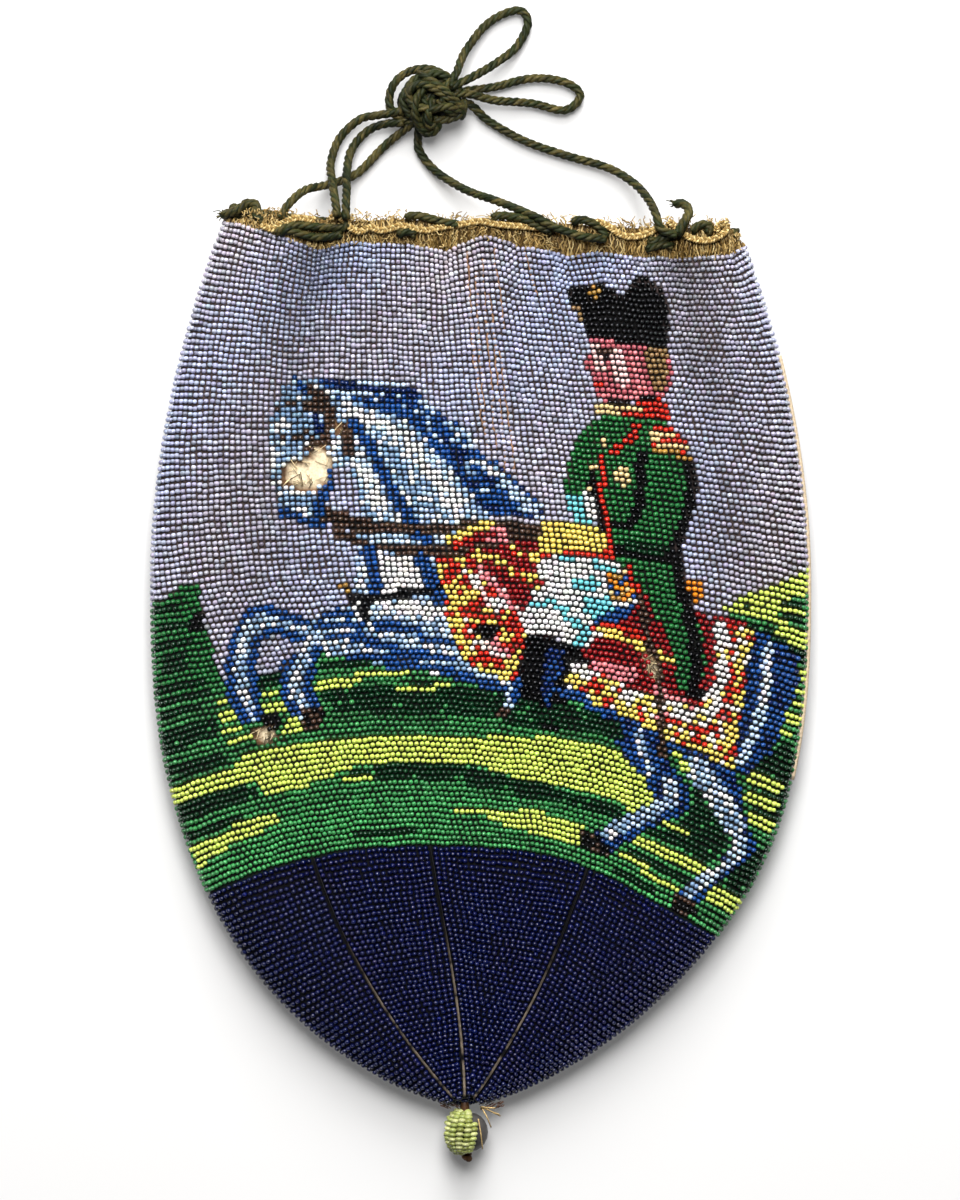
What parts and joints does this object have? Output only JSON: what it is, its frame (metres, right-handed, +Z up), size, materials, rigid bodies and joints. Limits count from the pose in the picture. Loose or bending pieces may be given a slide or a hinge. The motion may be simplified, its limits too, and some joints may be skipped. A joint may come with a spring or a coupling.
{
  "type": "beaded drawstring purse",
  "caption": "Flat lined drawstring purse of knitted glass beads with a pictured front, gored pointed base, gilt edging, silk drawstrings and a beaded drop; holds coins.",
  "frame": {"origin": "on the flat of the back that the purse lies on, under the middle of the front", "axes": "+X across the front to its right, +Y from the tip towards the mouth, +Z up out of the pictured front"},
  "size_m": [0.1552, 0.2724, 0.0165],
  "materials": {
    "lavender_glass": "semi-opaque lavender glass beads",
    "green_glass": "clear deep green glass beads",
    "dark_green_glass": "clear dark green glass beads",
    "light_green_glass": "opaque yellow-green glass beads",
    "navy_glass": "clear navy glass beads",
    "white_glass": "opaque white and pale blue glass beads",
    "blue_glass": "clear royal blue glass beads",
    "red_glass": "red, yellow and white glass beads",
    "black_glass": "black glass beads",
    "pink_glass": "pink and white glass beads",
    "lining": "plain cream cloth",
    "gilt_thread": "dull gilt metal thread, crocheted",
    "silk_cord": "twisted silk, worn",
    "straw_thread": "frayed linen thread",
    "drop_core": "smooth dark core",
    "brown_thread": "waxed thread"
  },
  "bodies": {
    "root": {"lining_bag": "lining", "sky_front": "lavender_glass", "sky_under_foreleg": "lavender_glass", "sky_back": "lavender_glass", "meadow_upper": "green_glass", "meadow_lower": "green_glass", "meadow_back": "green_glass", "light_meadow": "light_green_glass", "bush": "dark_green_glass", "hill": "light_green_glass", "horse_foreleg_raised": "white_glass", "horse_foreleg_lower": "white_glass", "horse_body": "white_glass", "horse_head_and_neck": "white_glass", "horse_mane": "blue_glass", "horse_hindquarter": "blue_glass", "horse_hind_leg_far": "white_glass", "horse_hind_leg_near": "white_glass", "saddle_cloth_front": "red_glass", "saddle_cloth_rear": "red_glass", "rider_breeches": "white_glass", "rider_boot": "black_glass", "rider_coat": "green_glass", "rider_head": "pink_glass", "rider_collar": "red_glass", "rider_hat": "black_glass", "base_gore_front_1": "navy_glass", "base_gore_front_2": "navy_glass", "base_gore_front_3": "navy_glass", "base_gore_front_4": "navy_glass", "base_gore_back_1": "navy_glass", "base_gore_back_2": "navy_glass", "base_gore_back_3": "navy_glass", "base_gore_back_4": "navy_glass", "gilt_edging": "gilt_thread", "drawstring_run_lower": "silk_cord", "drawstring_run_upper": "silk_cord", "cord_left_outer": "silk_cord", "cord_left_inner": "silk_cord", "cord_left_low": "silk_cord", "cord_centre": "silk_cord", "cord_right": "silk_cord", "bow_loop_upper": "silk_cord", "bow_loop_right": "silk_cord", "cord_end_left": "silk_cord", "cord_end_right": "silk_cord", "cord_knot": "silk_cord", "drop_neck": "straw_thread", "drop_core": "drop_core", "drop_strand_1": "light_green_glass", "drop_strand_2": "light_green_glass", "drop_strand_3": "light_green_glass", "drop_strand_4": "light_green_glass", "drop_strand_5": "light_green_glass", "drop_strand_6": "light_green_glass", "drop_strand_7": "light_green_glass", "drop_end_knot": "brown_thread"}
  },
  "joints": []
}
